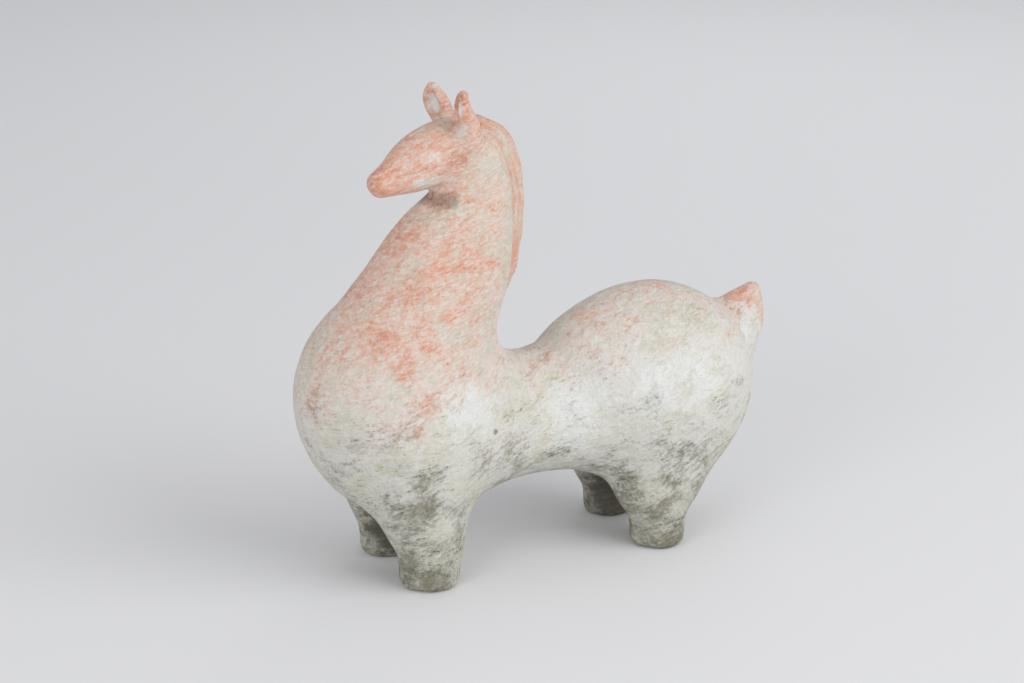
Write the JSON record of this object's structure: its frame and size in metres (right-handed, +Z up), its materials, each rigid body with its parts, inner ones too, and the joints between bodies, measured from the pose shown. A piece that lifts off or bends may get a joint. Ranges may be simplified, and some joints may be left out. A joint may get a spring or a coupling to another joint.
{
  "type": "haniwa horse",
  "caption": "Standing horse figure of hollow fired clay in the haniwa manner, with a long arched neck, small leaf ears, a ridge for a mane and stubby legs.",
  "frame": {"origin": "on the ground, under the middle of the horse's bounding box", "axes": "+Z up; the horse looks along -X, so +X runs towards its tail, and its left side faces -Y"},
  "size_m": [0.3228, 0.1196, 0.2999],
  "materials": {
    "slipped_clay": "unglazed fired clay with a matt white slip, worn pink-orange pigment and grey-green staining"
  },
  "bodies": {
    "root": {"horse": "slipped_clay"}
  },
  "joints": []
}
